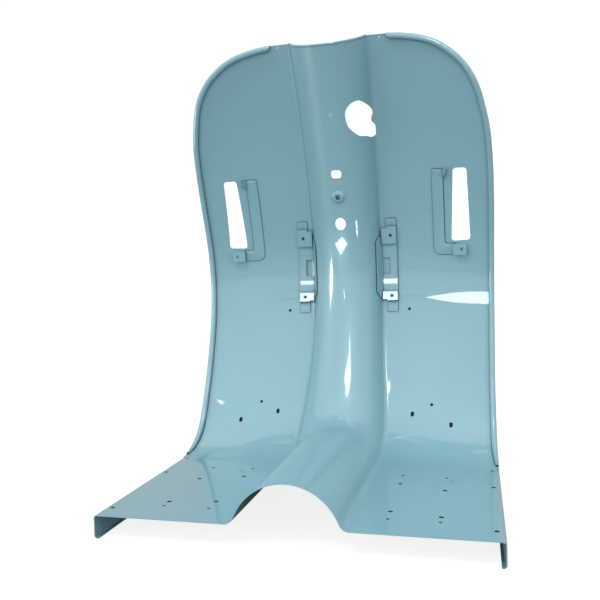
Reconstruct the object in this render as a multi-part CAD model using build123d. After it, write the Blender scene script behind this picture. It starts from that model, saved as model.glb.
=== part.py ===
from build123d import *
import math
import os

# Scooter leg shield: floor, bend and shield pressed from one sheet, with
# welded brackets on the rider's side.  Millimetres, +X to the rider's right,
# +Y forward, +Z up.  Origin: centre of the floor's main bolt pattern, on the
# underside of the floor.

# ----------------------------------------------------------------- dimensions
T = 1.2                    # sheet thickness
FLOOR_REAR = 115.0         # rear edge of the floor behind the origin
FLOOR_HALF = 245.0         # half width of the floor over the side flanges
FLANGE_DROP = 29.0         # height of the side flange below the floor's top
FLANGE_LIP = 6.0           # inward return along the flange's bottom
BEND_R = 4.0               # outer radius of the flange bends
FLANGE_END = 272.0         # flange length from the rear edge
S_TOP = 1033.0             # developed length at the flat top edge
HUMP_RISE = 6.0            # extra height of the hump's top edge
HALF_EXT = 252.0           # half width of the untrimmed sheet

# side profile: developed length against tangent angle
TH = [(0, 0), (262, 0), (285, 4.5), (315, 21.5), (345, 36.5), (375, 48.1),
      (410, 58.7), (460, 65.4), (520, 69.9), (590, 80.3), (660, 94.4),
      (740, 106.1), (820, 110.9), (920, 116.8), (1010, 121.5), (1060, 122.5)]
# sweep of the wings toward the rider, at the outer edge
SWEEP = [(0, 0), (262, 0), (330, 6.2), (420, 22), (560, 25.7), (700, 30.8),
         (850, 38), (1010, 45), (1060, 46)]
SWEEP_X0, SWEEP_W = 60.0, 188.0
# hump: half width with its foot fillet, foot fillet radius, height
HUMP_W = [(0, 75), (200, 75.5), (300, 77), (360, 77), (420, 73.5),
          (470, 69.5), (530, 66.5), (600, 66), (1060, 66)]
HUMP_F = [(0, 12), (300, 12), (420, 10), (530, 8), (1060, 8)]
HUMP_H = [(0, 51), (300, 51), (500, 50), (1060, 50)]

# outer edge over the rolled bead: developed length, half width
EDGE = [(285, 245.0), (297.5, 245), (329.5, 244.6), (376.75, 244.5),
        (445.25, 244.6), (490, 245.2), (536.25, 245.8), (582.5, 246.4),
        (631.25, 247), (679, 247.5), (726, 248), (760.5, 248.2),
        (795, 247.9), (838.75, 246.5), (882.75, 243.1), (903.5, 239.7),
        (923.75, 235.4), (944.25, 230.2), (963.25, 223), (981, 213),
        (993.75, 203), (1005.5, 190), (1018.75, 170), (1026.75, 149.6),
        (1031.25, 128), (1033.75, 110), (1034.75, 92)]
BEAD_R = 4.5               # outside radius of the rolled bead
BEAD_WALL = 0.9            # wall of the roll, thinned by rolling
BEAD_START = 305.0         # where the roll leaves the sheet
BEAD_STATIONS = 40
LIP_R = 1.7                # turned edge along the top of the hump

# floor holes: half spacing, distance from the rear edge, radius
FLOOR_HOLES = [(173.2, 165.65, 3.2), (173.2, 64.35, 3.2),
               (112.2, 185.9, 3.1), (112.2, 74.2, 3.1),
               (235.2, 188.9, 3.0), (235.2, 29.8, 3.0),
               (173.2, 221.0, 2.2), (173.2, 47.6, 2.2),
               (112.2, 225.1, 2.2), (112.2, 47.8, 2.2),
               (235.2, 265.5, 2.2)]
# round holes in the shield: half spacing, developed length, radius
SHIELD_HOLES = [(105.9, 577.0, 2.5), (144.2, 410.0, 2.5)]
# upright obround holes: half spacing, developed length, width, height
SHIELD_OBROUNDS = [(113.4, 394.0, 5.5, 9.0), (175.1, 374.0, 5.5, 9.0)]
# long slots for the lamps: corners as half spacing, height above the floor
SLOT = [(183.9, 454.7), (205.4, 453.5), (209.6, 340.0), (178.9, 339.4)]
SLOT_R = 5.0
# centre line of the hump
OBLONG_S, OBLONG_W, OBLONG_H = 827.0, 17.0, 13.5
BOSS_S, BOSS_R, BOSS_TOP_R, BOSS_H, BOSS_BORE_R = 787.5, 11.5, 7.0, 4.0, 4.0
CENTRE_S, CENTRE_W, CENTRE_H = 739.0, 18.0, 21.0
# steering lock opening on the right flank: half spacing, developed length
LOCK = [(23.3, 922.5), (26.3, 934), (33.5, 941), (44.9, 942), (53.5, 933),
        (59, 922.5), (61.1, 917.5), (60.4, 911.5), (58.6, 903.5),
        (60, 898.5), (63.1, 894), (63.7, 882), (62.9, 877.5), (60.2, 876),
        (51.1, 881.5), (41.7, 885.5), (33.7, 893.5), (28.1, 901),
        (24.2, 912)]

# lamp brackets
IND_T = 1.5
IND_GAP = 0.08
IND_STRIP = (149.5, 167.5, 670.0, 816.0)    # x from, x to, s from, s to
IND_ARM_X, IND_ARM_S = 185.5, 688.5
IND_TAB = (183.5, 205.5, 670.0, 688.5)
IND_TAB_RISE = 10.5
IND_TAB_HOLE = (197.4, 680.0, 2.75)
# glovebox brackets
GB_T = 1.3
GB_X = 78.0                # plane in which the side view is drawn
GB_X_IN, GB_X_OUT = 61.0, 86.5
GB_TAB_IN = 69.0
GB_PAD_H = 7.5
GB_MID_H = 3.9
GB_HOLE_R = 2.5
GB_CUT = (61.8, 75.0, 638.0, 667.5)
NUT_AF, NUT_H = 10.0, 5.0


# ------------------------------------------------------------------- surface
def monotone(tab):
    x = [p[0] for p in tab]
    y = [p[1] for p in tab]
    n = len(x)
    h = [x[i + 1] - x[i] for i in range(n - 1)]
    d = [(y[i + 1] - y[i]) / h[i] for i in range(n - 1)]
    m = [0.0] * n
    for i in range(1, n - 1):
        if d[i - 1] * d[i] > 0:
            w1 = 2 * h[i] + h[i - 1]
            w2 = h[i] + 2 * h[i - 1]
            m[i] = (w1 + w2) / (w1 / d[i - 1] + w2 / d[i])
    m[0] = d[0]
    m[-1] = d[-1]

    def f(v):
        v = min(max(v, x[0]), x[-1])
        i = 0
        while i < n - 2 and v > x[i + 1]:
            i += 1
        t = (v - x[i]) / h[i]
        return ((2 * t**3 - 3 * t**2 + 1) * y[i]
                + (t**3 - 2 * t**2 + t) * h[i] * m[i]
                + (-2 * t**3 + 3 * t**2) * y[i + 1]
                + (t**3 - t**2) * h[i] * m[i + 1])
    return f


angle = monotone(TH)
sweep = monotone(SWEEP)
hump_w = monotone(HUMP_W)
hump_f = monotone(HUMP_F)
hump_h = monotone(HUMP_H)

DS = 0.5
N = int(TH[-1][0] / DS) + 1
PT = [math.radians(angle(i * DS)) for i in range(N)]
PY = [0.0]
PZ = [0.0]
for i in range(1, N):
    PY.append(PY[-1] + (math.cos(PT[i - 1]) + math.cos(PT[i])) / 2 * DS)
    PZ.append(PZ[-1] + (math.sin(PT[i - 1]) + math.sin(PT[i])) / 2 * DS)


def hump(x, a, r, h):
    """Height of the hump: a round crown with a fillet at each foot."""
    x = abs(x)
    q = (a * a + h * h) / (2 * h)
    big = q - r
    xt = a * big / q
    if x <= xt:
        return h - big + math.sqrt(big * big - x * x)
    if x < a:
        return r - math.sqrt(max(r * r - (a - x) ** 2, 0))
    return 0.0


def profile(s, h=0.0):
    """Side profile at developed length s, raised h toward the rider."""
    i = int(min(max(s / DS, 0), N - 2))
    f = s / DS - i
    y = PY[i] * (1 - f) + PY[i + 1] * f
    z = PZ[i] * (1 - f) + PZ[i + 1] * f
    t = PT[i] * (1 - f) + PT[i + 1] * f
    return (y - math.sin(t) * h - FLOOR_REAR, z + math.cos(t) * h + T)


def surf(s, x, lift=0.0):
    """Rider's side of the sheet; lift moves along the surface normal."""
    u = max(0.0, (abs(x) - SWEEP_X0) / SWEEP_W)
    h = sweep(s) * u * u + hump(x, hump_w(s), hump_f(s), hump_h(s))
    y, z = profile(s, h)
    if lift == 0.0:
        return (x, y, z)
    n = normal(s, x)
    return (x + n[0] * lift, y + n[1] * lift, z + n[2] * lift)


def normal(s, x):
    e = 0.4
    a, b = surf(max(s - e, 0), x), surf(s + e, x)
    c, d = surf(s, x - e), surf(s, x + e)
    u = [b[i] - a[i] for i in range(3)]
    v = [d[i] - c[i] for i in range(3)]
    n = (v[1] * u[2] - v[2] * u[1], v[2] * u[0] - v[0] * u[2],
         v[0] * u[1] - v[1] * u[0])
    m = math.sqrt(sum(k * k for k in n))
    return tuple(k / m for k in n)


def spread(a, b, n):
    return [a + (b - a) * i / n for i in range(n)]


def across(s, xs, lift, shift):
    """Edge across the sheet at one developed length."""
    pts = [Vector(*surf(shift(s, x), x, lift)) for x in xs]
    ends = []
    for x in (xs[0], xs[-1]):
        p, q = [Vector(*surf(shift(s, k), k, lift)) for k in (x - 0.3, x + 0.3)]
        ends.append((q - p).normalized())
    return Edge.make_spline(pts, tangents=ends)


def sheet(rows, bays, low, high, shift=lambda s, x: s):
    """Solid between two offsets of the surface, laid in strips along the
    developed length and in bays across it."""
    grid = [[[across(s, xs, lift, shift) for xs in bays] for s in rows]
            for lift in (low, high)]
    faces = []
    for side in grid:
        for r0, r1 in zip(side, side[1:]):
            faces += [Face.make_surface_from_curves(e, f) for e, f in zip(r0, r1)]
    under, over = grid
    for r in (0, -1):
        faces += [Face.make_surface_from_curves(e, f)
                  for e, f in zip(under[r], over[r])]
    for k, t in ((0, 0), (-1, 1)):
        rim = [Edge.make_line(u[k] @ t, o[k] @ t) for u, o in zip(under, over)]
        faces += [Face.make_surface_from_curves(e, f)
                  for e, f in zip(rim, rim[1:])]
    return Solid(Shell(faces))


def local_plane(s, x, lift=0.0):
    """Plane on the surface: x outboard, y up the sheet, z to the rider."""
    n = Vector(*normal(s, x))
    xd = Vector(*surf(s, x + 0.5)) - Vector(*surf(s, x - 0.5))
    return Plane(origin=surf(s, x, lift), x_dir=xd.normalized(), z_dir=n)


def one(shape):
    """The single solid of a result."""
    got = shape.solids()
    return max(got, key=lambda k: k.bounding_box().diagonal)


# strips of the sheet along its developed length, closer in the bend
ROWS = ([0.0, 80.0, 160.0, 220.0, 250.0] + spread(262, 430, 26)
        + spread(430, S_TOP - 13, 42) + [S_TOP - 13, S_TOP])


# --------------------------------------------------------------------- panel
def raised_top(s, x):
    return s + (s / S_TOP) ** 10 * HUMP_RISE * hump(x, 66, 8, 50) / 50


# edge path of the bead by length, from the floor to the top
run = [0.0]
for a, b in zip(EDGE, EDGE[1:]):
    run.append(run[-1] + math.hypot(b[0] - a[0], b[1] - a[1]))
edge_s = monotone([(r, e[0]) for r, e in zip(run, EDGE)])
edge_x = monotone([(r, e[1]) for r, e in zip(run, EDGE)])
bead_size = monotone([(0, 2.4), (20, 3.3), (50, 4.2), (80, BEAD_R),
                      (run[-1] - 9, BEAD_R), (run[-1] - 5, 4.3),
                      (run[-1] - 2, 3.6), (run[-1], 2.6)])


def edge_frame(t):
    """Point on the outer edge, inboard direction and normal."""
    p = Vector(*surf(edge_s(t), edge_x(t)))
    q0 = Vector(*surf(edge_s(max(t - 1, 0)), edge_x(max(t - 1, 0))))
    t1 = min(t + 1, run[-1])
    q1 = Vector(*surf(edge_s(t1), edge_x(t1)))
    n = Vector(*normal(edge_s(t), edge_x(t)))
    along = (q1 - q0).normalized()
    inboard = n.cross(along).normalized()
    if inboard.X * p.X > 0 and abs(inboard.X) > 0.2:
        inboard = inboard * -1
    elif abs(inboard.X) <= 0.2 and inboard.Z > 0:
        inboard = inboard * -1
    return p, inboard, n




def bead_section(t):
    """Cross-section of the roll: from inside the sheet, out and over, and
    back down to just above the sheet."""
    p, b, n = edge_frame(t)
    r = bead_size(t)
    ri = r - BEAD_WALL
    rise = -(r - BEAD_WALL / 2) * math.sin(math.radians(BEAD_START)) - T / 2
    c = p + b * r + n * rise
    a0 = -math.degrees(math.asin((rise - 0.35) / r))
    a1 = BEAD_START
    am = (a0 + a1) / 2

    def at(rad, deg):
        a = math.radians(deg)
        return c + b * (rad * math.cos(a)) + n * (rad * math.sin(a))

    return Wire([
        Edge.make_three_point_arc(at(r, a0), at(r, am), at(r, a1)),
        Edge.make_line(at(r, a1), at(ri, a1)),
        Edge.make_three_point_arc(at(ri, a1), at(ri, am), at(ri, a0)),
        Edge.make_line(at(ri, a0), at(r, a0))])


def turned_edge(x):
    """Cross-section of the turned edge along the top of the hump."""
    a, b = [Vector(*surf(raised_top(S_TOP, k), k, -T / 2))
            for k in (x - 0.5, x + 0.5)]
    q = surf(raised_top(S_TOP, x), x, -T / 2)
    return Wire([Edge.make_circle(LIP_R, Plane(
        origin=q, z_dir=(b - a).normalized(), x_dir=normal(S_TOP, x)))])


def make_half():
    """Right-hand half of the panel, cut at the centre plane."""
    bays = [spread(0, 50, 9) + spread(50, 84, 15) + [84.0, 92.0],
            spread(92, HALF_EXT, 10) + [HALF_EXT]]
    out = sheet(ROWS, bays, -T, 0.0, raised_top)
    # trim to the outline: the sheet ends inside the bead
    trim = []
    for k in range(46):
        t = run[-1] * k / 45
        p, b, n = edge_frame(t)
        q = p + b * (0.7 * bead_size(t))
        trim.append((q.X, q.Z))
    with BuildSketch(Plane.XZ) as sk:
        with BuildLine():
            a0 = Line((-40, -80), (FLOOR_HALF, -80))
            a1 = Polyline(a0 @ 1, (FLOOR_HALF, trim[0][1] - 0.5), trim[0])
            a2 = Spline(*trim)
            a3 = Line(a2 @ 1, (trim[-1][0], 720))
            a4 = Line(a3 @ 1, (-40, 720))
            Line(a4 @ 1, a0 @ 0)
        make_face()
    out = one(out & extrude(sk.sketch, 800, both=True))
    # side flange: bend, drop and an inward return
    r_in = BEND_R - T
    low = T - FLANGE_DROP
    wall = FLOOR_HALF
    with BuildSketch(Plane.XZ) as sk:
        with BuildLine():
            m0 = Line((wall - BEND_R - 2, T), (wall - BEND_R, T))
            m1 = RadiusArc(m0 @ 1, (wall, T - BEND_R), BEND_R)
            m2 = Line(m1 @ 1, (wall, low + BEND_R))
            m3 = RadiusArc(m2 @ 1, (wall - BEND_R, low), BEND_R)
            m4 = Line(m3 @ 1, (wall - FLANGE_LIP, low))
            m5 = Line(m4 @ 1, (wall - FLANGE_LIP, low + T))
            m6 = Line(m5 @ 1, (wall - BEND_R, low + T))
            m7 = RadiusArc(m6 @ 1, (wall - T, low + BEND_R), -r_in)
            m8 = Line(m7 @ 1, (wall - T, T - BEND_R))
            m9 = RadiusArc(m8 @ 1, (wall - BEND_R, 0), -r_in)
            m10 = Line(m9 @ 1, (wall - BEND_R - 2, 0))
            Line(m10 @ 1, m0 @ 0)
        make_face()
    flange = Pos(0, FLANGE_END - FLOOR_REAR, 0) * extrude(sk.sketch, FLANGE_END)
    out = out - Pos(wall - BEND_R + 20, FLANGE_END / 2 - FLOOR_REAR - 10, 0) * Box(
        40, FLANGE_END + 20, 12)
    out = one(out + flange)
    # rolled bead and the turned edge of the hump
    last = run[-1] - 12
    stations = [last * k / BEAD_STATIONS for k in range(BEAD_STATIONS + 1)]
    stations += [run[-1] - d for d in (9, 6, 4, 2.5, 1.2, 0.5, 0)]
    out = one(out + Solid.make_loft([bead_section(t) for t in stations]))
    lip = Solid.make_loft([turned_edge(62.0 * k / 14) for k in range(15)])
    out = one(out + lip)
    # pressed boss with its blind seat
    pl = local_plane(BOSS_S, 0.0, -0.8)
    boss = pl * Pos(0, 0, (BOSS_H + 0.8) / 2) * Cone(
        BOSS_R, BOSS_TOP_R, BOSS_H + 0.8)
    out = out + (boss & Pos(50, 300, 300) * Box(100, 900, 900))
    cuts = [pl * Pos(0, 0, 0.8 + 5) * Cylinder(BOSS_BORE_R, 10)]
    # holes
    for x, y, r in FLOOR_HOLES:
        cuts.append(Pos(x, y - FLOOR_REAR, 0) * Cylinder(r, 20))
    for x, s, r in SHIELD_HOLES:
        cuts.append(local_plane(s, x) * Cylinder(r, 20))
    for x, s, w, h in SHIELD_OBROUNDS:
        cuts.append(extrude(local_plane(s, x) * SlotOverall(h, w, 90), 10, both=True))
    cuts.append(extrude(local_plane(OBLONG_S, 0) * RectangleRounded(
        OBLONG_W, OBLONG_H, 5.0), 12, both=True))
    cuts.append(extrude(local_plane(CENTRE_S, 0) * Ellipse(
        CENTRE_W / 2, CENTRE_H / 2), 12, both=True))
    slot = fillet(make_face(Polyline(*SLOT, close=True)).vertices(), SLOT_R)
    cuts.append(Pos(0, 290, 0) * extrude(Plane.XZ * slot, 90, both=True))
    out = one(out - cuts)
    return out


def lock_prism():
    pts = [Vector(*surf(s, x)) for x, s in LOCK]
    mid = sum(pts, Vector(0, 0, 0)) * (1.0 / len(pts))
    pl = Plane(origin=mid, x_dir=(1, -1, 0), z_dir=normal(908, 45.0))
    loc = [pl.to_local_coords(p) for p in pts]
    rim = Spline(*[(p.X, p.Y) for p in loc], periodic=True)
    return extrude(pl * make_face(rim), 26, both=True)


def joined(right, left):
    """Two halves closed into one solid across the centre plane."""
    faces = [f for f in right.faces() + left.faces()
             if max(abs(f.bounding_box().min.X), abs(f.bounding_box().max.X)) > 1e-3]
    return Solid(Shell(faces))


# ------------------------------------------------------------------ brackets
def indicator_bracket():
    """Strip beside the long slot, with a raised screw tab and a bent lug."""
    x0, x1, s0, s1 = IND_STRIP
    lo, hi = IND_GAP, IND_GAP + IND_T
    rows = [s for s in ROWS if s0 - 18 < s < s1 + 18]
    bay = spread(x0 - 8, IND_ARM_X + 6, 8) + [IND_ARM_X + 6]
    plate = sheet(rows, [bay], lo, hi)

    def arc(cx, cs, r, a0, a1):
        return [(cx + r * math.cos(math.radians(a0 + (a1 - a0) * k / 6)),
                 cs + r * math.sin(math.radians(a0 + (a1 - a0) * k / 6)))
                for k in range(7)]

    rim = ([(IND_ARM_X, s0)] + arc(x0 + 11, s0 + 11, 11, 270, 180)
           + arc(x0 + 3, s1 - 3, 3, 180, 90) + [(x1 + 0.5, s1), (x1 + 0.5, 800)]
           + [(x1, 799)] + arc(x1 + 4, IND_ARM_S + 4, 4, 180, 270)
           + [(IND_ARM_X, IND_ARM_S)])
    pts = [(x, surf(s, x)[2]) for x, s in rim]
    cut = extrude(Plane.XZ * make_face(Polyline(*pts, close=True)), 700, both=True)
    out = one(plate & cut)
    # raised tab on its riser
    ta, tb, sa, sb = IND_TAB
    sm = (sa + sb) / 2
    pl = local_plane(sm, ta)
    w, d = tb - ta, sb - sa
    h = IND_TAB_RISE
    tab = pl * Pos(w / 2, 0, h - IND_T / 2) * Box(w, d, IND_T)
    tab = fillet(tab.edges().filter_by(lambda e: abs(
        (e @ 1 - e @ 0).normalized().dot(pl.z_dir)) > 0.9).sort_by(
            lambda e: pl.to_local_coords(e @ 0.5).X)[-2:], 2.0)
    riser = pl * Pos(IND_T / 2, 0, (h + lo + 0.4) / 2) * Box(IND_T, d, h - lo - 0.4)
    hx, hs, hr = IND_TAB_HOLE
    bore = pl * Pos(hx - ta, hs - sm, h) * Cylinder(hr, 8)
    # bent lug at the upper end
    b1, b2 = Vector(*surf(816, 167.5, 0.9)), Vector(*surf(800.5, 167.5, 0.9))
    f1, f2 = Vector(*surf(823.5, 176, 16)), Vector(*surf(812, 176, 16))
    m = (f2 - b1).cross(b2 - b1).normalized()
    if m.X < 0:
        m = m * -1

    def quad(p, q):
        a = m * (IND_T / 2)
        return Wire([Edge.make_line(p - a, q - a), Edge.make_line(q - a, q + a),
                     Edge.make_line(q + a, p + a), Edge.make_line(p + a, p - a)])

    lug = Solid.make_loft([quad(b1, b2), quad(f1, f2)], ruled=True)
    out = out + [riser, tab, lug]
    return one(one(out) - bore)


GB_OUTER = [(735, 1.46), (722, 1.46), (720.5, GB_PAD_H), (692, GB_PAD_H),
            (688.5, GB_MID_H), (670, GB_MID_H - 0.3), (650, GB_MID_H - 0.4),
            (630, GB_MID_H - 0.3), (611, GB_MID_H), (607.5, GB_PAD_H),
            (592, GB_PAD_H), (590, 1.46), (573, 1.46)]
GB_INNER = [(573, 0.16), (591.3, 0.16), (593.2, GB_PAD_H - GB_T),
            (606.9, GB_PAD_H - GB_T), (610.3, GB_MID_H - GB_T),
            (630, GB_MID_H - 0.3 - GB_T), (650, GB_MID_H - 0.4 - GB_T),
            (670, GB_MID_H - 0.3 - GB_T), (689.2, GB_MID_H - GB_T),
            (692.6, GB_PAD_H - GB_T), (719.3, GB_PAD_H - GB_T),
            (720.8, 0.16), (735, 0.16)]
GB_HOLES = [706.5, 600.0]

_a, _b = surf(650, GB_X - 0.5), surf(650, GB_X + 0.5)
GB_DIR = Vector(1, _b[1] - _a[1], 0)      # run of the bracket across the panel


def gb_point(s, h, x=GB_X):
    p = surf(s, GB_X, h)
    return Vector(GB_X, p[1], p[2]) + GB_DIR * (x - GB_X)


def gb_plane(s, h, x):
    up = gb_point(s + 0.5, h) - gb_point(s - 0.5, h)
    return Plane(origin=gb_point(s, h, x), x_dir=GB_DIR.normalized(),
                 z_dir=GB_DIR.cross(up).normalized())


def pad_plane(s, x):
    """Panel side of the raised pad that holds the screw at s."""
    ends = (692.6, 719.3) if s > 650 else (593.2, 606.9)
    a, b = [gb_point(k, GB_PAD_H - GB_T) for k in ends]
    f = (s - ends[0]) / (ends[1] - ends[0])
    o = a + (b - a) * f + GB_DIR * (x - GB_X)
    return Plane(origin=o, x_dir=GB_DIR.normalized(),
                 z_dir=GB_DIR.cross(b - a).normalized())


def glovebox_bracket():
    """Bracket along the foot of the hump, with raised screw pads."""
    pts = [gb_point(s, h, GB_X_IN) for s, h in GB_OUTER + GB_INNER]
    side = Face(Wire.make_polygon(pts, close=True))
    out = Solid.extrude(side, GB_DIR * (GB_X_OUT - GB_X_IN))
    # narrower weld tabs
    w = GB_TAB_IN - 50
    for s in (719.2 + 20, 593.3 - 20):
        out = out - gb_plane(s, 0, 50 + w / 2) * Box(w, 40, 40)
    out = one(out)
    # flange up the side of the hump
    ax, ah = 58.3, 5.8
    dx, dh = -0.394, 0.919
    nx, nh = 0.919, 0.394
    g = 0.75

    def flange_section(s, top):
        quad = []
        for u, v in ((-3.7, g), (top, g), (top, g + GB_T), (-3.7, g + GB_T)):
            x = ax + dx * u + nx * v
            h = ah + dh * u + nh * v
            y, z = profile(s, h)
            quad.append(Vector(x, y, z))
        return Wire.make_polygon(quad, close=True)

    rail = [(597, 5.0), (605, 15.5), (630, 16), (655, 16), (680, 16),
            (698, 15.5), (706, 5.0)]
    flange = Solid.make_loft([flange_section(s, t) for s, t in rail], ruled=True)
    out = one(out + flange)
    # cut-out beside the flange
    ca, cb, sa, sb = GB_CUT
    cut = gb_plane((sa + sb) / 2, 0, (ca + cb) / 2) * extrude(
        RectangleRounded(cb - ca, sb - sa, 3.0), 9)
    out = out - cut
    for s in GB_HOLES:
        out = out - pad_plane(s, 76.8) * Cylinder(2.9, 8)
    return one(out)


def weld_nut(s):
    pl = pad_plane(s, 76.8)
    body = extrude(RegularPolygon(NUT_AF / 2, 6, major_radius=False), -NUT_H)
    return one(pl * (body - Cylinder(GB_HOLE_R, 20)))


# --------------------------------------------------------------------- parts
def flipped(shape):
    return mirror(shape, about=Plane.YZ)


os.makedirs("parts", exist_ok=True)
half = make_half()
panel = joined(one(half - lock_prism()), flipped(half))
lamp = indicator_bracket()
box = glovebox_bracket()
nuts = [weld_nut(s) for s in GB_HOLES]
nuts += [flipped(n) for n in nuts]
parts = {
    "leg_shield_panel": panel,
    "indicator_bracket_right": lamp,
    "indicator_bracket_left": flipped(lamp),
    "glovebox_bracket_right": box,
    "glovebox_bracket_left": flipped(box),
    "glovebox_bracket_nuts": Compound(children=nuts),
}
for name, shape in parts.items():
    export_step(shape, f"parts/{name}.step")
    print(name, [(s.is_valid, round(s.volume)) for s in shape.solids()])
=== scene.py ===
import math

import bpy
import numpy as np
from mathutils import Matrix, Vector


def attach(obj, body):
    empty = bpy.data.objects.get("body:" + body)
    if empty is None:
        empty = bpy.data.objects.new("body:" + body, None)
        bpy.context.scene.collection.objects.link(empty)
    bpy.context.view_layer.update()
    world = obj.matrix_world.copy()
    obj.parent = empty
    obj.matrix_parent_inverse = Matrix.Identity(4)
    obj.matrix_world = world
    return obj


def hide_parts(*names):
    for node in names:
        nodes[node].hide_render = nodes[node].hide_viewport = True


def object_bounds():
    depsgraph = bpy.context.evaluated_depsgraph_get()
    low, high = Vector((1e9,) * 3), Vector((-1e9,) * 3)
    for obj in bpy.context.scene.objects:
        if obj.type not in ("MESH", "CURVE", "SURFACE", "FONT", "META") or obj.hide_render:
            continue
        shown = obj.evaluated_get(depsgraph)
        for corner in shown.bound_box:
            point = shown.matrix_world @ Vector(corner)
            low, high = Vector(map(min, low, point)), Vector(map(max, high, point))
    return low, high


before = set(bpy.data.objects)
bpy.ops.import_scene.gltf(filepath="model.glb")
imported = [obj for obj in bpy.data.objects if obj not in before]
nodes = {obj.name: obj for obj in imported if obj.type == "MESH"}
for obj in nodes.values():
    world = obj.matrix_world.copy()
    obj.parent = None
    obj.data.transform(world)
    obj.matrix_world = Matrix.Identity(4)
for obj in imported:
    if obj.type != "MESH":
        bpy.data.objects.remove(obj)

cad_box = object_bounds()
scene = bpy.context.scene
MM = 0.001

# --------------------------------------------------------------- pressed form
# The pressing's own shape, in millimetres: side profile, wing sweep and hump.
T = 1.2
FLOOR_REAR = 115.0
TH = [(0, 0), (262, 0), (285, 4.5), (315, 21.5), (345, 36.5), (375, 48.1),
      (410, 58.7), (460, 65.4), (520, 69.9), (590, 80.3), (660, 94.4),
      (740, 106.1), (820, 110.9), (920, 116.8), (1010, 121.5), (1060, 122.5)]
SWEEP = [(0, 0), (262, 0), (330, 6.2), (420, 22), (560, 25.7), (700, 30.8),
         (850, 38), (1010, 45), (1060, 46)]
HUMP_W = [(0, 75), (200, 75.5), (300, 77), (360, 77), (420, 73.5),
          (470, 69.5), (530, 66.5), (600, 66), (1060, 66)]
HUMP_F = [(0, 12), (300, 12), (420, 10), (530, 8), (1060, 8)]
HUMP_H = [(0, 51), (300, 51), (500, 50), (1060, 50)]
EDGE = [(0, 245), (285, 245.0), (297.5, 245), (329.5, 244.6), (376.75, 244.5),
        (445.25, 244.6), (490, 245.2), (536.25, 245.8), (582.5, 246.4),
        (631.25, 247), (679, 247.5), (726, 248), (760.5, 248.2), (795, 247.9),
        (838.75, 246.5), (882.75, 243.1), (903.5, 239.7), (923.75, 235.4),
        (944.25, 230.2), (963.25, 223), (981, 213), (993.75, 203),
        (1005.5, 190), (1018.75, 170), (1026.75, 149.6), (1031.25, 128),
        (1033.75, 110), (1034.75, 92)]

# punched holes: half spacing, developed length, largest radius
FLOOR_HOLES = [(173.2, 165.65, 3.2), (173.2, 64.35, 3.2), (112.2, 185.9, 3.1),
               (112.2, 74.2, 3.1), (235.2, 188.9, 3.0), (235.2, 29.8, 3.0),
               (173.2, 221.0, 2.2), (173.2, 47.6, 2.2), (112.2, 225.1, 2.2),
               (112.2, 47.8, 2.2), (235.2, 265.5, 2.2)]
SHIELD_HOLES = [(105.9, 577.0, 2.5), (144.2, 410.0, 2.5),
                (113.4, 394.0, 4.5), (175.1, 374.0, 4.5)]


def monotone(tab):
    x = np.array([p[0] for p in tab], float)
    y = np.array([p[1] for p in tab], float)
    h = np.diff(x)
    d = np.diff(y) / h
    m = np.zeros(len(x))
    for i in range(1, len(x) - 1):
        if d[i - 1] * d[i] > 0:
            w1 = 2 * h[i] + h[i - 1]
            w2 = h[i] + 2 * h[i - 1]
            m[i] = (w1 + w2) / (w1 / d[i - 1] + w2 / d[i])
    m[0] = d[0]
    m[-1] = d[-1]

    def f(v):
        v = np.clip(v, x[0], x[-1])
        i = np.clip(np.searchsorted(x, v, side="left") - 1, 0, len(x) - 2)
        t = (v - x[i]) / h[i]
        return ((2 * t**3 - 3 * t**2 + 1) * y[i]
                + (t**3 - 2 * t**2 + t) * h[i] * m[i]
                + (-2 * t**3 + 3 * t**2) * y[i + 1]
                + (t**3 - t**2) * h[i] * m[i + 1])
    return f


angle = monotone(TH)
sweep = monotone(SWEEP)
hump_w = monotone(HUMP_W)
hump_f = monotone(HUMP_F)
hump_h = monotone(HUMP_H)
SG = np.arange(0, 1060.25, 0.5)
PT = np.radians(angle(SG))
PY = np.concatenate([[0], np.cumsum((np.cos(PT[1:]) + np.cos(PT[:-1])) / 4)])
PZ = np.concatenate([[0], np.cumsum((np.sin(PT[1:]) + np.sin(PT[:-1])) / 4)])


def hump(x, a, r, h):
    x = np.abs(x)
    q = (a * a + h * h) / (2 * h)
    big = q - r
    xt = a * big / q
    crown = h - big + np.sqrt(np.maximum(big * big - x * x, 0))
    foot = r - np.sqrt(np.maximum(r * r - (a - x) ** 2, 0))
    return np.where(x <= xt, crown, np.where(x < a, foot, 0.0))


def surf(s, x):
    u = np.maximum(0, (np.abs(x) - 60.0) / 188.0)
    h = sweep(s) * u * u + hump(x, hump_w(s), hump_f(s), hump_h(s))
    y = np.interp(s, SG, PY)
    z = np.interp(s, SG, PZ)
    t = np.interp(s, SG, PT)
    return np.stack([x, y - np.sin(t) * h - FLOOR_REAR,
                     z + np.cos(t) * h + T], -1)


def tangents(s, x, e=0.4):
    ps = (surf(s + e, x) - surf(np.maximum(s - e, 0), x)) / (
        e + np.minimum(s, e))[..., None]
    px = (surf(s, x + e) - surf(s, x - e)) / (2 * e)
    return ps, px


def unit(v):
    return v / np.maximum(np.linalg.norm(v, axis=-1, keepdims=True), 1e-12)


def waves(s, x):
    """Hand-worked unevenness of the sheet, a few hundredths of a millimetre."""
    a = 0.014 * np.sin(x / 17.0 + 1.3 * np.sin(s / 61.0) + 0.7)
    b = 0.015 * np.sin(s / 21.0 + 0.9 * np.sin(x / 37.0))
    c = 0.012 * np.sin((s * 0.7 + x) / 14.0 + 1.7)
    fade = np.clip((s - 250) / 80, 0.35, 1)
    return (a + b + c) * fade


def lifted(s, x, lift):
    ps, px = tangents(s, x)
    n = unit(np.cross(px, ps))
    return surf(s, x) + n * (lift + waves(s, x))[..., None]


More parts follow.
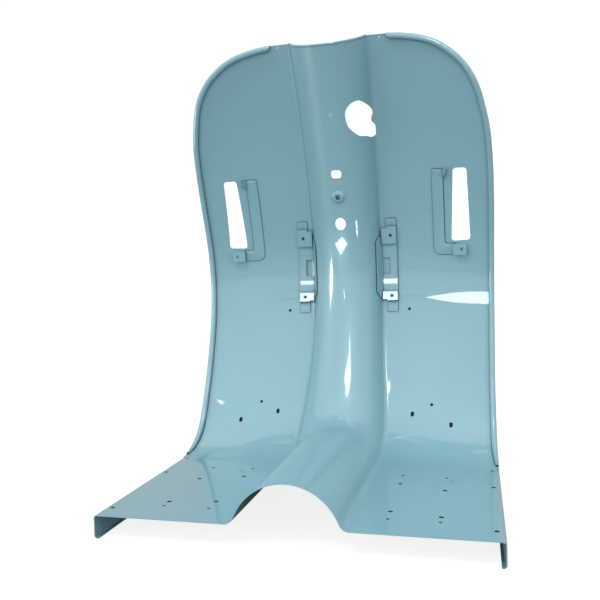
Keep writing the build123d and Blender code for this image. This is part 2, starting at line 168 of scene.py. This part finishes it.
def shade_normal(s, x, lift):
    e = 0.6
    lo = np.maximum(s - e, 0)
    ps = lifted(s + e, x, lift) - lifted(lo, x, lift)
    px = lifted(s, x + e, lift) - lifted(s, x - e, lift)
    return unit(np.cross(px, ps))


# ---------------------------------------------------------------- panel mesh
def split_long(co, tri, limit, passes):
    """Bisects long edges so that the sheet follows its curve closely."""
    for _ in range(passes):
        e = np.sort(np.concatenate(
            [tri[:, [0, 1]], tri[:, [1, 2]], tri[:, [2, 0]]]), axis=1)
        ue, inv = np.unique(e, axis=0, return_inverse=True)
        inv = inv.reshape(3, -1).T
        ln = np.linalg.norm(co[ue[:, 0]] - co[ue[:, 1]], axis=1)
        tl = ln[inv]
        worst = tl.argmax(1)
        rows = np.arange(len(tri))
        pick = inv[rows, worst][tl[rows, worst] > limit]
        if len(pick) == 0:
            break
        cut = np.zeros(len(ue), bool)
        cut[pick] = True
        new = np.full(len(ue), -1)
        new[cut] = len(co) + np.arange(cut.sum())
        co = np.concatenate([co, (co[ue[cut, 0]] + co[ue[cut, 1]]) / 2])
        m = new[inv]
        has = m >= 0
        count = has.sum(1)
        out = [tri[count == 0]]
        k = np.where(count == 1)[0]
        j = has[k].argmax(1)
        a, b, c = (tri[k, j], tri[k, (j + 1) % 3], tri[k, (j + 2) % 3])
        mid = m[k, j]
        out += [np.stack([a, mid, c], 1), np.stack([mid, b, c], 1)]
        k = np.where(count == 2)[0]
        j = (~has[k]).argmax(1)
        # the whole edge runs a to b, and the cut edges run b to c and c to a
        a, b, c = (tri[k, j], tri[k, (j + 1) % 3], tri[k, (j + 2) % 3])
        p, q = m[k, (j + 1) % 3], m[k, (j + 2) % 3]
        out += [np.stack([a, b, p], 1), np.stack([a, p, q], 1),
                np.stack([q, p, c], 1)]
        k = np.where(count == 3)[0]
        a, b, c = tri[k, 0], tri[k, 1], tri[k, 2]
        p, q, r = m[k, 0], m[k, 1], m[k, 2]
        out += [np.stack([a, p, r], 1), np.stack([p, b, q], 1),
                np.stack([r, q, c], 1), np.stack([p, q, r], 1)]
        tri = np.concatenate(out)
    return co, tri


def foot_point(p):
    """Developed length, half width and height above the rider's surface."""
    best = np.full(len(p), 1e18)
    s = np.zeros(len(p))
    x = np.clip(p[:, 0], -251, 251)
    for k in np.arange(0, 1045, 10.0):
        q = surf(np.full(len(p), k), x)
        d = (q[:, 1] - p[:, 1]) ** 2 + (q[:, 2] - p[:, 2]) ** 2
        hit = d < best
        best[hit] = d[hit]
        s[hit] = k
    x = x.copy()
    for _ in range(8):
        r = p - surf(s, x)
        ps, px = tangents(s, x)
        a11 = (ps * ps).sum(1)
        a12 = (ps * px).sum(1)
        a22 = (px * px).sum(1)
        b1 = (ps * r).sum(1)
        b2 = (px * r).sum(1)
        det = a11 * a22 - a12 * a12
        s = np.clip(s + np.clip((b1 * a22 - b2 * a12) / det, -8, 8), 0, 1050)
        x = np.clip(x + np.clip((a11 * b2 - a12 * b1) / det, -4, 4), -252, 252)
    ps, px = tangents(s, x)
    n = unit(np.cross(px, ps))
    return s, x, ((p - surf(s, x)) * n).sum(1), n


def build_panel():
    src = nodes["leg_shield_panel"].data
    co = np.empty(len(src.vertices) * 3)
    src.vertices.foreach_get("co", co)
    co = co.reshape(-1, 3) / MM
    src.calc_loop_triangles()
    tri = np.empty(len(src.loop_triangles) * 3, np.int64)
    src.loop_triangles.foreach_get("vertices", tri)
    key, inv = np.unique(np.round(co, 2), axis=0, return_inverse=True)
    inv = inv.reshape(-1)
    first = np.zeros(len(key), np.int64)
    first[inv] = np.arange(len(co))
    co = co[first]
    tri = inv[tri].reshape(-1, 3)
    ok = ((tri[:, 0] != tri[:, 1]) & (tri[:, 1] != tri[:, 2])
          & (tri[:, 2] != tri[:, 0]))
    tri = tri[ok]
    co, tri = split_long(co, tri, 30.0, 12)
    s, x, d, n = foot_point(co)
    # sheet faces, by the side of the sheet that they lie on
    fn = unit(np.cross(co[tri[:, 1]] - co[tri[:, 0]],
                       co[tri[:, 2]] - co[tri[:, 0]]))
    dot = (fn * n[tri].mean(1)).sum(1)
    rim = np.array(EDGE)
    rs = np.linspace(0, 1034.7, 900)
    rx = np.interp(rs, rim[:, 0], rim[:, 1])
    rim_d = np.full(len(co), 1e9)
    for k in range(len(rs)):
        rim_d = np.minimum(rim_d, np.hypot(s - rs[k], np.abs(x) - rx[k]))
    clear = np.where(s < 290, np.abs(x) < 240.5, rim_d > 10.5)
    clear &= (np.abs(x) > 66) | (s < 1029)
    free = clear[tri].all(1)
    rider = (np.abs(d[tri]) < 0.45).all(1) & free
    front = (np.abs(d[tri] + T) < 0.45).all(1) & free
    near_r = (np.abs(d[tri]) < 0.13).all(1) & (dot > 0.985) & ~free
    near_f = (np.abs(d[tri] + T) < 0.13).all(1) & (dot < -0.985) & ~free
    for faces, lift in ((rider, 0.0), (front, -T)):
        v = np.unique(tri[faces])
        v = v[clear[v]]
        co[v] = lifted(s[v], x[v], np.full(len(v), lift))
    co = np.clip(co, np.array(cad_box[0]) / MM, np.array(cad_box[1]) / MM)
    me = bpy.data.meshes.new("leg_shield_visual")
    me.from_pydata((co * MM).tolist(), [], tri.tolist())
    me.update()
    me.polygons.foreach_set("use_smooth", np.ones(len(tri), bool))
    # walls of the small punched holes, which take the near-black painted-shade material
    fs, fx = s[tri].mean(1), np.abs(x[tri].mean(1))
    wall = np.zeros(len(tri), bool)
    for hx, hs, hr in FLOOR_HOLES + SHIELD_HOLES:
        wall |= np.hypot(fs - hs, fx - hx) < hr + 0.35
    wall &= ~(rider | front)
    me.polygons.foreach_set("material_index", wall.astype(np.int32))
    me.set_sharp_from_angle(angle=math.radians(38))
    loops = np.empty(len(me.loops) * 3, np.float32)
    me.corner_normals.foreach_get("vector", loops)
    loops = loops.reshape(-1, 3, 3)
    for faces, sign in ((rider | near_r, 1.0), (front | near_f, -1.0)):
        v = tri[faces]
        lift = np.full(v.size, 0.0 if sign > 0 else -T)
        m = shade_normal(s[v].ravel(), x[v].ravel(), lift)
        loops[faces] = (sign * m).reshape(-1, 3, 3)
    me.normals_split_custom_set(loops.reshape(-1, 3).tolist())
    obj = bpy.data.objects.new("leg_shield_visual", me)
    scene.collection.objects.link(obj)
    print("panel triangles", len(tri), "rider", int(rider.sum()),
          "front", int(front.sum()), "other", int((~(rider | front)).sum()))
    return obj


# ----------------------------------------------------------------- materials
def new_material(name):
    mat = bpy.data.materials.new(name)
    mat.use_nodes = True
    nt = mat.node_tree
    bsdf = nt.nodes["Principled BSDF"]
    return mat, nt, bsdf


def add(nt, kind, **values):
    node = nt.nodes.new(kind)
    for k, v in values.items():
        if k in node.inputs:
            node.inputs[k].default_value = v
        else:
            setattr(node, k, v)
    return node


# place, radius and strength of each pale mark
MARKS = [((0.0010, 0.2066, 0.5378), 0.0042, 0.16),
         ((-0.0804, 0.2001, 0.6479), 0.0016, 0.75),
         ((0.0808, 0.2003, 0.6477), 0.0016, 0.75)]


def paint_material():
    mat, nt, bsdf = new_material("light_blue_paint")
    link = nt.links.new
    co = add(nt, "ShaderNodeTexCoord")
    broad = add(nt, "ShaderNodeTexNoise", Scale=5.5, Detail=3.0, Roughness=0.5)
    fine = add(nt, "ShaderNodeTexNoise", Scale=620.0, Detail=2.0, Roughness=0.55)
    flake = add(nt, "ShaderNodeTexNoise", Scale=1900.0, Detail=1.0)
    for k in (broad, fine, flake):
        link(co.outputs["Object"], k.inputs["Vector"])
    tone = add(nt, "ShaderNodeValToRGB")
    tone.color_ramp.elements[0].position = 0.30
    tone.color_ramp.elements[0].color = (0.180, 0.355, 0.413, 1)
    tone.color_ramp.elements[1].position = 0.72
    tone.color_ramp.elements[1].color = (0.191, 0.372, 0.431, 1)
    link(broad.outputs["Fac"], tone.inputs["Fac"])
    speck = add(nt, "ShaderNodeMapRange")
    speck.inputs["From Min"].default_value = 0.3
    speck.inputs["From Max"].default_value = 0.7
    speck.inputs["To Min"].default_value = 0.985
    speck.inputs["To Max"].default_value = 1.015
    link(flake.outputs["Fac"], speck.inputs["Value"])
    mix = add(nt, "ShaderNodeVectorMath", operation="SCALE")
    link(tone.outputs["Color"], mix.inputs[0])
    link(speck.outputs["Result"], mix.inputs["Scale"])
    # painted shade darkening the crevices beside welded and folded edges
    near = add(nt, "ShaderNodeAmbientOcclusion", samples=8)
    near.inputs["Distance"].default_value = 0.0024
    crevice_shade = add(nt, "ShaderNodeMapRange")
    crevice_shade.inputs["From Min"].default_value = 0.50
    crevice_shade.inputs["From Max"].default_value = 0.90
    crevice_shade.inputs["To Min"].default_value = 0.02
    crevice_shade.inputs["To Max"].default_value = 1.0
    link(near.outputs["AO"], crevice_shade.inputs["Value"])
    # and a wider, weaker shade beside the raised strips and pads
    wide = add(nt, "ShaderNodeAmbientOcclusion", samples=6)
    wide.inputs["Distance"].default_value = 0.0075
    dim = add(nt, "ShaderNodeMapRange")
    dim.inputs["From Min"].default_value = 0.50
    dim.inputs["From Max"].default_value = 0.92
    dim.inputs["To Min"].default_value = 0.60
    dim.inputs["To Max"].default_value = 1.0
    link(wide.outputs["AO"], dim.inputs["Value"])
    shade = add(nt, "ShaderNodeMath", operation="MULTIPLY")
    link(crevice_shade.outputs["Result"], shade.inputs[0])
    link(dim.outputs["Result"], shade.inputs[1])
    # small pale discs mixed into the paint colour at three listed places
    tint = mix.outputs["Vector"]
    for spot, size, pale in MARKS:
        far = add(nt, "ShaderNodeVectorMath", operation="DISTANCE")
        far.inputs[1].default_value = spot
        link(co.outputs["Object"], far.inputs[0])
        disc = add(nt, "ShaderNodeMapRange")
        disc.inputs["From Min"].default_value = size
        disc.inputs["From Max"].default_value = size * 0.72
        disc.inputs["To Max"].default_value = pale
        link(far.outputs["Value"], disc.inputs["Value"])
        over = add(nt, "ShaderNodeMix", data_type="RGBA")
        link(disc.outputs["Result"], over.inputs[0])
        link(tint, over.inputs[6])
        over.inputs[7].default_value = (0.62, 0.72, 0.74, 1)
        tint = over.outputs[2]
    # base colour multiplied by the painted crevice shade
    shaded_base = add(nt, "ShaderNodeVectorMath", operation="SCALE")
    link(tint, shaded_base.inputs[0])
    link(shade.outputs["Value"], shaded_base.inputs["Scale"])
    link(shaded_base.outputs["Vector"], bsdf.inputs["Base Color"])
    rough = add(nt, "ShaderNodeMapRange")
    rough.inputs["To Min"].default_value = 0.30
    rough.inputs["To Max"].default_value = 0.40
    link(broad.outputs["Fac"], rough.inputs["Value"])
    link(rough.outputs["Result"], bsdf.inputs["Roughness"])
    bump = add(nt, "ShaderNodeBump", Strength=0.05, Distance=0.0002)
    link(fine.outputs["Fac"], bump.inputs["Height"])
    link(bump.outputs["Normal"], bsdf.inputs["Normal"])
    bsdf.inputs["Coat Weight"].default_value = 1.0
    bsdf.inputs["Coat Roughness"].default_value = 0.02
    bsdf.inputs["Coat IOR"].default_value = 1.5
    bsdf.inputs["Specular IOR Level"].default_value = 0.4
    return mat


def steel_material():
    mat, nt, bsdf = new_material("nut_steel")
    link = nt.links.new
    co = add(nt, "ShaderNodeTexCoord")
    grain = add(nt, "ShaderNodeTexNoise", Scale=900.0, Detail=3.0)
    link(co.outputs["Object"], grain.inputs["Vector"])
    tone = add(nt, "ShaderNodeValToRGB")
    tone.color_ramp.elements[0].color = (0.42, 0.43, 0.42, 1)
    tone.color_ramp.elements[1].color = (0.66, 0.66, 0.62, 1)
    link(grain.outputs["Fac"], tone.inputs["Fac"])
    link(tone.outputs["Color"], bsdf.inputs["Base Color"])
    rough = add(nt, "ShaderNodeMapRange")
    rough.inputs["To Min"].default_value = 0.28
    rough.inputs["To Max"].default_value = 0.48
    link(grain.outputs["Fac"], rough.inputs["Value"])
    link(rough.outputs["Result"], bsdf.inputs["Roughness"])
    bump = add(nt, "ShaderNodeBump", Strength=0.15, Distance=0.0001)
    link(grain.outputs["Fac"], bump.inputs["Height"])
    link(bump.outputs["Normal"], bsdf.inputs["Normal"])
    bsdf.inputs["Metallic"].default_value = 1.0
    return mat


def dress(obj, mat):
    obj.data.materials.clear()
    obj.data.materials.append(mat)


def hole_wall_shade_material():
    """Walls of punched holes, coloured near-black as painted shade."""
    mat, nt, bsdf = new_material("hole_wall_painted_shade")
    link = nt.links.new
    co = add(nt, "ShaderNodeTexCoord")
    grain = add(nt, "ShaderNodeTexNoise", Scale=1400.0, Detail=2.0)
    link(co.outputs["Object"], grain.inputs["Vector"])
    tone = add(nt, "ShaderNodeValToRGB")
    tone.color_ramp.elements[0].color = (0.010, 0.020, 0.025, 1)
    tone.color_ramp.elements[1].color = (0.030, 0.052, 0.060, 1)
    link(grain.outputs["Fac"], tone.inputs["Fac"])
    link(tone.outputs["Color"], bsdf.inputs["Base Color"])
    rough = add(nt, "ShaderNodeMapRange")
    rough.inputs["To Min"].default_value = 0.55
    rough.inputs["To Max"].default_value = 0.80
    link(grain.outputs["Fac"], rough.inputs["Value"])
    link(rough.outputs["Result"], bsdf.inputs["Roughness"])
    return mat


paint = paint_material()
steel = steel_material()
punched = hole_wall_shade_material()

panel = build_panel()
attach(panel, "root")
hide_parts("leg_shield_panel")
dress(panel, paint)
panel.data.materials.append(punched)
dress(nodes["leg_shield_panel"], paint)

# brackets keep their pressed form, with the soft edges of painted steel
for name in ("indicator_bracket_right", "indicator_bracket_left",
             "glovebox_bracket_right", "glovebox_bracket_left"):
    o = nodes[name]
    dress(o, paint)
    weld = o.modifiers.new("weld", "WELD")
    weld.merge_threshold = 0.00002
    bev = o.modifiers.new("edge", "BEVEL")
    bev.width = 0.00022
    bev.segments = 2
    bev.limit_method = "ANGLE"
    bev.angle_limit = math.radians(35)
    bev.harden_normals = True
dress(nodes["glovebox_bracket_nuts"], steel)


def frame_at(s, x, lift):
    p = lifted(np.array([s]), np.array([x]), np.array([lift]))[0]
    n = shade_normal(np.array([s]), np.array([x]), np.array([lift]))[0]
    n = Vector(n)
    up = Vector((0, 1, 0)) if abs(n.z) > 0.9 else Vector((0, 0, 1))
    u = n.cross(up).normalized()
    return Vector(p), u, n.cross(u), n


def weld_spots():
    """Low, uneven beads of weld under the paint, on the brackets' tabs."""
    spots = [(152.3, 811.0, 1.58, 1.9, 0.55), (150.0, 746.0, 1.35, 1.5, 0.75),
             (78.0, 729.0, 1.46, 1.9, 0.55), (79.5, 578.0, 1.46, 2.2, 0.50),
             (73.5, 577.0, 1.46, 1.7, 0.45)]
    verts, faces = [], []
    rings, seg = 5, 18
    for side in (1, -1):
        for k, (x, s, lift, r, h) in enumerate(spots):
            c, u, v, n = frame_at(s, x * side, lift)
            base = len(verts)
            for i in range(rings):
                f = i / rings
                rad = r * math.cos(f * math.pi / 2)
                up = h * math.sin(f * math.pi / 2) - 0.12 * (i == 0)
                for j in range(seg):
                    a = 2 * math.pi * j / seg
                    w = 1 + 0.10 * math.sin(2 * a + k) + 0.06 * math.sin(3 * a + 2 * k)
                    verts.append((c + u * (rad * w * math.cos(a))
                                  + v * (rad * w * math.sin(a)) + n * up) * MM)
            verts.append((c + n * h) * MM)
            for i in range(rings - 1):
                for j in range(seg):
                    a, b = base + i * seg + j, base + i * seg + (j + 1) % seg
                    faces.append((a, b, b + seg, a + seg))
            last = base + (rings - 1) * seg
            for j in range(seg):
                faces.append((last + j, last + (j + 1) % seg, base + rings * seg))
            faces.append(tuple(base + j for j in reversed(range(seg))))
    me = bpy.data.meshes.new("weld_spots")
    me.from_pydata([tuple(p) for p in verts], [], faces)
    me.update()
    me.polygons.foreach_set("use_smooth", [len(f) < 5 for f in faces])
    o = bpy.data.objects.new("weld_spots", me)
    scene.collection.objects.link(o)
    return o


welds = weld_spots()
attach(welds, "root")
dress(welds, paint)


# --------------------------------------------------------------------- stage
def mesh_object(name, verts, faces, mat=None):
    me = bpy.data.meshes.new(name)
    me.from_pydata(verts, [], faces)
    me.update()
    o = bpy.data.objects.new(name, me)
    scene.collection.objects.link(o)
    if mat is not None:
        me.materials.append(mat)
    return o


def floor_material():
    mat, nt, bsdf = new_material("pale_floor")
    link = nt.links.new
    co = add(nt, "ShaderNodeTexCoord")
    noise = add(nt, "ShaderNodeTexNoise", Scale=2.0, Detail=2.0)
    link(co.outputs["Object"], noise.inputs["Vector"])
    tone = add(nt, "ShaderNodeValToRGB")
    tone.color_ramp.elements[0].color = (0.24, 0.24, 0.24, 1)
    tone.color_ramp.elements[1].color = (0.26, 0.26, 0.26, 1)
    link(noise.outputs["Fac"], tone.inputs["Fac"])
    link(tone.outputs["Color"], bsdf.inputs["Base Color"])
    bsdf.inputs["Roughness"].default_value = 0.9
    bsdf.inputs["Specular IOR Level"].default_value = 0.1
    glow = add(nt, "ShaderNodeEmission", Strength=FLOOR_GLOW)
    path = add(nt, "ShaderNodeLightPath")
    none = add(nt, "ShaderNodeEmission", Strength=0.0)
    pick = add(nt, "ShaderNodeMixShader")
    both = add(nt, "ShaderNodeAddShader")
    # the backdrop behind the object is bright in gloss as well
    geo = add(nt, "ShaderNodeNewGeometry")
    sep = add(nt, "ShaderNodeSeparateXYZ")
    back = add(nt, "ShaderNodeMapRange")
    back.inputs["From Min"].default_value = 0.40
    back.inputs["From Max"].default_value = 0.80
    back.inputs["To Max"].default_value = 0.30
    gloss = add(nt, "ShaderNodeMath", operation="MULTIPLY")
    seen = add(nt, "ShaderNodeMath", operation="MAXIMUM")
    link(geo.outputs["Position"], sep.inputs[0])
    link(sep.outputs["Y"], back.inputs["Value"])
    link(back.outputs["Result"], gloss.inputs[0])
    link(path.outputs["Is Glossy Ray"], gloss.inputs[1])
    link(gloss.outputs[0], seen.inputs[0])
    link(path.outputs["Is Camera Ray"], seen.inputs[1])
    link(seen.outputs[0], pick.inputs[0])
    link(none.outputs[0], pick.inputs[1])
    link(glow.outputs[0], pick.inputs[2])
    link(bsdf.outputs[0], both.inputs[0])
    link(pick.outputs[0], both.inputs[1])
    link(both.outputs[0], nt.nodes["Material Output"].inputs["Surface"])
    return mat


FLOOR_GLOW = 0.84
FLOOR_Z = cad_box[0][2] - 0.0002
profile = [(-6.0, 0.0), (1.6, 0.0)]
for k in range(1, 13):
    a = math.radians(90 * k / 12)
    profile.append((1.6 + 1.4 * math.sin(a), 1.4 * (1 - math.cos(a))))
profile.append((3.0, 6.0))
verts, faces = [], []
for y, z in profile:
    verts += [(-7.0, y, FLOOR_Z + z), (7.0, y, FLOOR_Z + z)]
for k in range(len(profile) - 1):
    faces.append((2 * k, 2 * k + 1, 2 * k + 3, 2 * k + 2))
floor = mesh_object("studio_floor", verts, faces, floor_material())
floor.data.polygons.foreach_set("use_smooth", [True] * len(faces))


# a dark card close behind each small punched hole, as painted shade seen through the hole
verts, faces = [], []
for side in (1, -1):
    spots = [(x * side, y, r + 1.0, 0.4) for x, y, r in FLOOR_HOLES]
    spots += [(x * side, s, r, 2.4) for x, s, r in SHIELD_HOLES]
    for x, s, r, gap in spots:
        c, u, v, n = frame_at(s, x, -T - gap)
        base = len(verts)
        for k in range(20):
            a = 2 * math.pi * k / 20
            verts.append((c + (u * math.cos(a) + v * math.sin(a)) * (r + 1.6)) * MM)
        faces.append(tuple(range(base, base + 20)))
dark, nt, bsdf = new_material("hole_shade_card_dark")
bsdf.inputs["Base Color"].default_value = (0.012, 0.020, 0.024, 1)
bsdf.inputs["Roughness"].default_value = 0.8
shade_card_object = mesh_object("hole_shade_cards", [tuple(p) for p in verts], faces, dark)


def area(name, at, aim, size, power, color=(1, 1, 1), size_y=None):
    data = bpy.data.lights.new(name, "AREA")
    data.energy = power
    data.color = color
    if size_y is None:
        data.shape = "SQUARE"
        data.size = size
    else:
        data.shape = "RECTANGLE"
        data.size = size
        data.size_y = size_y
    o = bpy.data.objects.new(name, data)
    o.location = at
    o.rotation_euler = (Vector(aim) - Vector(at)).to_track_quat(
        "-Z", "Y").to_euler()
    scene.collection.objects.link(o)
    return o


world = bpy.data.worlds.new("studio")
scene.world = world
world.use_nodes = True
nt = world.node_tree
bg = nt.nodes["Background"]
co = nt.nodes.new("ShaderNodeTexCoord")
sep = nt.nodes.new("ShaderNodeSeparateXYZ")
ramp = nt.nodes.new("ShaderNodeValToRGB")
rng = nt.nodes.new("ShaderNodeMapRange")
rng.inputs["From Min"].default_value = -1.0
nt.links.new(co.outputs["Generated"], sep.inputs[0])
nt.links.new(sep.outputs["Z"], rng.inputs["Value"])
nt.links.new(rng.outputs["Result"], ramp.inputs["Fac"])
nt.links.new(ramp.outputs["Color"], bg.inputs["Color"])
ramp.color_ramp.elements[0].position = 0.0
ramp.color_ramp.elements[0].color = (0.40, 0.40, 0.40, 1)
ramp.color_ramp.elements[1].position = 1.0
ramp.color_ramp.elements[1].color = (1.5, 1.5, 1.5, 1)
for pos, v in ((0.44, 0.45), (0.50, 1.0), (0.65, 1.0), (0.80, 1.0)):
    e = ramp.color_ramp.elements.new(pos)
    e.color = (v, v, v, 1)
bg.inputs["Strength"].default_value = 1.0

key = area("key_front", (0.15, -2.6, 0.38), (0, 0.2, 0.40), 2.6, 34, size_y=1.0)
top = area("key_top", (-0.75, -1.25, 2.1), (0, 0.25, 0.3), 0.4, 12)
fill_r = area("fill_right", (2.4, -0.9, 0.2), (0, 0.25, 0.45), 1.2, 7)
fill_l = area("fill_left", (-2.4, -0.9, 0.3), (0, 0.25, 0.40), 1.2, 7)
for o in (key, top, fill_r, fill_l):
    o.visible_glossy = False


# bright panes and strips of the studio, seen only as gloss on the paint
def pane_material(name, strength):
    mat = bpy.data.materials.new(name)
    mat.use_nodes = True
    nt = mat.node_tree
    nt.nodes.remove(nt.nodes["Principled BSDF"])
    glow = add(nt, "ShaderNodeEmission", Strength=strength)
    glow.inputs["Color"].default_value = (0.96, 0.99, 1.0, 1)
    nt.links.new(glow.outputs[0], nt.nodes["Material Output"].inputs["Surface"])
    return mat


PANES = [
    ("hump_card", 16.0, "panel", [
        (-0.0086, 0.2240, 0.3278), (0.0177, 0.2259, 0.3187),
        (-0.0208, 0.2284, 0.3068), (-0.0464, 0.2363, 0.3209)]),
    ("wing_card", 16.0, "panel", [
        (-0.0672, -0.3195, 0.4154), (-0.0792, -0.3153, 0.3968),
        (-0.0899, -0.3091, 0.3807), (-0.0994, -0.3002, 0.3677),
        (-0.1055, -0.2911, 0.3596), (-0.0953, -0.2802, 0.4188),
        (-0.0899, -0.2892, 0.4255), (-0.0840, -0.2983, 0.4263),
        (-0.0765, -0.3086, 0.4228)]),
    ("left_strip", 18.0, "panel", [
        (-0.7064, -0.2719, 0.1585), (-0.6684, -0.3313, 0.2469),
        (-0.7057, -0.2791, 0.3942), (-0.7662, -0.1492, 0.4931),
        (-0.8092, -0.1357, 0.3778), (-0.7928, -0.1748, 0.2513)]),
    ("right_strip", 18.0, "panel", [
        (0.2420, 0.0408, 0.2294), (0.2693, 0.0610, 0.2356),
        (0.2589, 0.0491, 0.2350), (0.2358, 0.0339, 0.2288)]),
    ("ceiling_strip", 18.0, "panel", [
        (0.2336, -0.7049, 0.8563), (0.3087, -0.6504, 0.8887),
        (0.3854, -0.5735, 0.9258), (0.3660, -0.5479, 0.9541),
        (0.3030, -0.4802, 1.0248), (0.1924, -0.4051, 1.0977),
        (0.1041, -0.4996, 1.0495), (0.1294, -0.5430, 1.0155),
        (0.0042, -0.6010, 0.9772), (0.0623, -0.6318, 0.9491),
        (0.1601, -0.6563, 0.9164), (0.2278, -0.6680, 0.8947)]),
    ("star", 18.0, "panel", [
        (-0.2271, 0.0609, 0.2341), (-0.2214, 0.0650, 0.2382),
        (-0.2150, 0.0703, 0.2427), (-0.2202, 0.0672, 0.2390),
        (-0.2238, 0.0660, 0.2370), (-0.2232, 0.0647, 0.2369)]),
    ("window_pane_high", 16.0, "brackets", [
        (-0.590, -2.070, 0.804), (-0.315, -2.094, 0.804),
        (-0.312, -2.078, 0.867), (-0.587, -2.055, 0.867)]),
    ("window_pane_low", 16.0, "brackets", [
        (-0.599, -2.109, 0.615), (-0.321, -2.133, 0.615),
        (-0.320, -2.127, 0.654), (-0.597, -2.103, 0.654)]),
]
shown_on = {"panel": [panel, welds],
            "brackets": [nodes[n] for n in nodes if "bracket" in n]}
groups = {}
for name, objs in shown_on.items():
    groups[name] = bpy.data.collections.new("gloss_on_" + name)
    for o in objs:
        groups[name].objects.link(o)
for name, strength, where, corners in PANES:
    o = mesh_object(name, corners, [tuple(range(len(corners)))],
                    pane_material(name, strength))
    o.visible_camera = False
    o.visible_diffuse = False
    o.visible_shadow = False
    o.visible_transmission = False
    o.light_linking.receiver_collection = groups[where]

# -------------------------------------------------------------------- camera
cam = bpy.data.cameras.new("camera")
cam.lens = 41.74
cam.sensor_width = 36.0
cam.sensor_fit = "HORIZONTAL"
cam.clip_start = 0.01
cam_obj = bpy.data.objects.new("camera", cam)
right = Vector((0.96904, 0.24536, -0.02770))
down = Vector((-0.01734, -0.04430, -0.99887))
look = Vector((-0.24630, 0.96842, -0.03868))
m = Matrix((right, -down, -look)).transposed().to_4x4()
m.translation = Vector((0.21798, -0.87192, 0.29241))
cam_obj.matrix_world = m
scene.collection.objects.link(cam_obj)
scene.camera = cam_obj
scene.view_settings.view_transform = "Standard"
scene.view_settings.look = "None"
